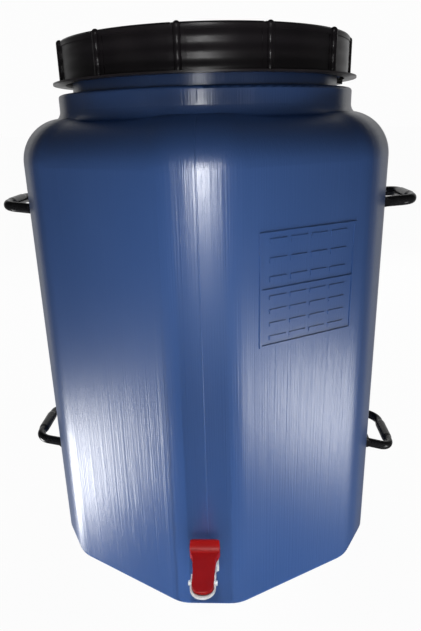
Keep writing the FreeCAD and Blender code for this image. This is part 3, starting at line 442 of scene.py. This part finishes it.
loop = loop_path()
loop_sides, loop_normals = moving_frame(loop, (0.0, 0.0, 1.0))
for body, degrees in TILTS.items():
    side, tilt = math.copysign(1.0, pivots[body][0]), math.radians(degrees)
    path, sides, normals = (tilted(vectors, side, tilt) for vectors in (loop, loop_sides, loop_normals))
    path = path + np.array(pivots[body])
    line = closed_sweep(body + "_line", path, sides, normals, **HANDLE_LINE_SIZE)
    line.data.materials.append(handle_black)
    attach(line, body)
    print(line.name, "at", pivots[body])

# %% [markdown]
# ## The lid's top
#
# The lid is filled through one point in its middle, which leaves a small nub in a shallow dish. Two fine
# rings round it stiffen the panel. They could be separate rings, but a sum of soft humps in one turned
# profile blends them into the panel without seams.

# %% Relief on the lid
LID_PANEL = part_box("screw_lid")[1][2] - 0.004
RELIEF_LIFT, RELIEF_DEPTH = 0.0003, 0.0005
RELIEF_RADIUS, RELIEF_STEPS, ROUND_STEPS = 0.110, 221, 96
RING_RADII, RING_WIDTH, RING_HEIGHT = (0.055, 0.100), 0.0012, 0.0006
NUB_WIDTH, NUB_HEIGHT = 0.0022, 0.0012
DISH_RADIUS, DISH_WIDTH, DISH_DEPTH = 0.006, 0.002, 0.0002


def turned_relief(name, radii, heights, underside):
    """A profile turned about Z: (r cos a, r sin a, h(r)), with a flat underside and both poles closed."""
    angle = np.linspace(0.0, 2 * np.pi, ROUND_STEPS, endpoint=False)
    r = np.concatenate([radii[1:], radii[-1:]])[:, None]
    z = np.concatenate([heights[1:], [underside]])[:, None]
    rings = np.stack([r * np.cos(angle), r * np.sin(angle), z + 0 * angle], axis=2)
    points = np.concatenate([rings.reshape(-1, 3), [[0, 0, heights[0]], [0, 0, underside]]])
    here, there = np.arange(ROUND_STEPS), (np.arange(ROUND_STEPS) + 1) % ROUND_STEPS
    level = np.arange(len(r) - 1)[:, None] * ROUND_STEPS
    first, turned = level + here, level + there
    quads = np.stack([first, turned, turned + ROUND_STEPS, first + ROUND_STEPS], axis=2)
    last = (len(r) - 1) * ROUND_STEPS
    top = np.stack([np.full(ROUND_STEPS, len(points) - 2), there, here], axis=1)
    low = np.stack([np.full(ROUND_STEPS, len(points) - 1), here + last, there + last], axis=1)
    return solid_from(name, points, quads.reshape(-1, 4), np.concatenate([top, low]))


def hump(radii, centre, width, height):
    """height * exp(-((r - centre) / width)^2)."""
    return height * np.exp(-(((radii - centre) / width) ** 2))


radii = np.linspace(0.0, RELIEF_RADIUS, RELIEF_STEPS)
humps = hump(radii, 0.0, NUB_WIDTH, NUB_HEIGHT) - hump(radii, DISH_RADIUS, DISH_WIDTH, DISH_DEPTH)
humps = humps + sum(hump(radii, centre, RING_WIDTH, RING_HEIGHT) for centre in RING_RADII)
lid_relief = turned_relief("lid_relief", radii, LID_PANEL + RELIEF_LIFT + humps, LID_PANEL - RELIEF_DEPTH)
lid_relief.data.materials.append(lid_black)
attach(lid_relief, "screw_lid")
print("relief on the lid, up to", round(float(humps.max()) * 1000, 2), "mm high")

# %% [markdown]
# ## The floor
#
# The barrel stands on white paper. Paper that is lit until it looks white would light the barrel too, so it
# is matt grey to every ray but the camera's. The camera sees it nearly white, with a small share left for the
# shadow. It reaches far back, so that its edge meets the backdrop at the horizon.

# %% Floor
FLOOR_HALF = 30.0
FLOOR_GREY = 0.85
FLOOR_WHITE_SHARE = 0.97


def flat_sheet(name, half):
    """A level square round the origin, with corners at plus and minus half."""
    mesh = bpy.data.meshes.new(name)
    corners = [(-half, -half, 0), (half, -half, 0), (half, half, 0), (-half, half, 0)]
    mesh.from_pydata(corners, [], [(0, 1, 2, 3)])
    made = bpy.data.objects.new(name, mesh)
    scene.collection.objects.link(made)
    return made


def grey(level):
    """A colour with the same red, green and blue."""
    return (level, level, level, OPAQUE)


def blank_tree(owner):
    """The node tree of a material or a world, switched on and emptied."""
    owner.use_nodes = True
    owner.node_tree.nodes.clear()
    return owner.node_tree


paper = bpy.data.materials.new("white_paper")
tree = blank_tree(paper)
seen_directly = put(tree, "ShaderNodeLightPath").outputs["Is Camera Ray"]
share = put(tree, "ShaderNodeMath", {0: seen_directly, 1: FLOOR_WHITE_SHARE}, operation="MULTIPLY")
matt = put(tree, "ShaderNodeBsdfDiffuse", {"Color": grey(FLOOR_GREY)})
glow = put(tree, "ShaderNodeEmission", {"Strength": 1.0})
surface = put(tree, "ShaderNodeMixShader", {0: share.outputs[0], 1: matt.outputs[0], 2: glow.outputs[0]})
put(tree, "ShaderNodeOutputMaterial", {"Surface": surface.outputs[0]})
floor = flat_sheet("floor", FLOOR_HALF)
floor.data.materials.append(paper)
floor.visible_glossy = False
floor.visible_shadow = False
print("floor", 2 * FLOOR_HALF, "m wide")

# %% [markdown]
# ## The room
#
# The room's light is weak, and twice as strong from below as from above, as over a pale floor. The camera
# sees a white backdrop instead. Plastic that is seen at a grazing angle mirrors the same backdrop, which
# gives the barrel its pale outline, so glossy rays that head backwards see most of it as well.

# %% World
ROOM_STRENGTH = 0.075
ROOM_STOPS = [(0.0, (0.9, 0.9, 0.9)), (1.0, (0.45, 0.45, 0.46))]
BACKDROP = 0.977
MIRRORED_SHARE = 0.66
world = bpy.data.worlds.new("studio")
scene.world = world
tree = blank_tree(world)
path_of_light = put(tree, "ShaderNodeLightPath").outputs
direction = put(tree, "ShaderNodeTexCoord").outputs["Generated"]
heading = put(tree, "ShaderNodeSeparateXYZ", {0: direction}).outputs
shade = ramp_of(tree, span_of(tree, heading["Z"], -0.6, 0.6, 0.0, 1.0), ROOM_STOPS)
room = put(tree, "ShaderNodeBackground", {"Color": shade, "Strength": ROOM_STRENGTH})
backdrop = put(tree, "ShaderNodeBackground", {"Color": grey(BACKDROP)})
backward = span_of(tree, heading["Y"], 0.45, 0.85, 0.0, MIRRORED_SHARE)
mirrored = put(tree, "ShaderNodeMath", {0: path_of_light["Is Glossy Ray"], 1: backward}, operation="MULTIPLY")
white = {0: path_of_light["Is Camera Ray"], 1: mirrored.outputs[0]}
either = put(tree, "ShaderNodeMath", white, operation="MAXIMUM")
mix = put(tree, "ShaderNodeMixShader", {0: either.outputs[0], 1: room.outputs[0], 2: backdrop.outputs[0]})
put(tree, "ShaderNodeOutputWorld", {"Surface": mix.outputs[0]})
print("room light at", ROOM_STRENGTH)

# %% [markdown]
# ## Soft boxes
#
# Four soft boxes make the long pale reflections: one beside the camera for the front corner, a small one for
# the tap, and one low on each side. Narrow beams keep their light off the rest. Two large ones, under the
# front and behind, only fill, so no reflection shows them. Point lamps would give hard spots instead.

# %% Soft boxes
SOFT_BOXES = [
    ("camera_box", (0.028, -0.72, 0.45), (0.0, -0.2, 0.42), 0.12, 0.110, 48, True),
    ("tap_box", (0.0, -0.62, 0.58), (0.0, -0.24, 0.09), 0.06, 0.050, 26, True),
    ("left_box", (-0.75, -0.125, -0.274), (-0.17, -0.12, 0.065), 0.22, 0.41, 66, True),
    ("right_box", (0.66, -0.35, -0.09), (0.12, -0.15, 0.20), 0.20, 0.150, 70, True),
    ("under_box", (0.03, -0.47, -0.05), (0.03, -0.25, 1.0), 0.6, 7.6, 180, False),
    ("back_box", (0.1, 1.5, 0.7), (0.0, 0.0, 0.3), 0.8, 12.0, 180, False),
]


def soft_box(name, place, target, size, power, beam, mirrored):
    """A square area light at a place, turned to face a target: its side in metres, its power in watts, its
    beam's full angle in degrees, and whether glossy surfaces mirror it."""
    data = bpy.data.lights.new(name, "AREA")
    data.size = size
    data.energy = power
    data.spread = math.radians(beam)
    lamp = bpy.data.objects.new(name, data)
    lamp.location = place
    lamp.rotation_mode = "QUATERNION"
    lamp.rotation_quaternion = (Vector(target) - Vector(place)).to_track_quat("-Z", "Y")
    lamp.visible_camera = False
    lamp.visible_glossy = mirrored
    scene.collection.objects.link(lamp)


for box in SOFT_BOXES:
    soft_box(*box)
print(len(SOFT_BOXES), "soft boxes")
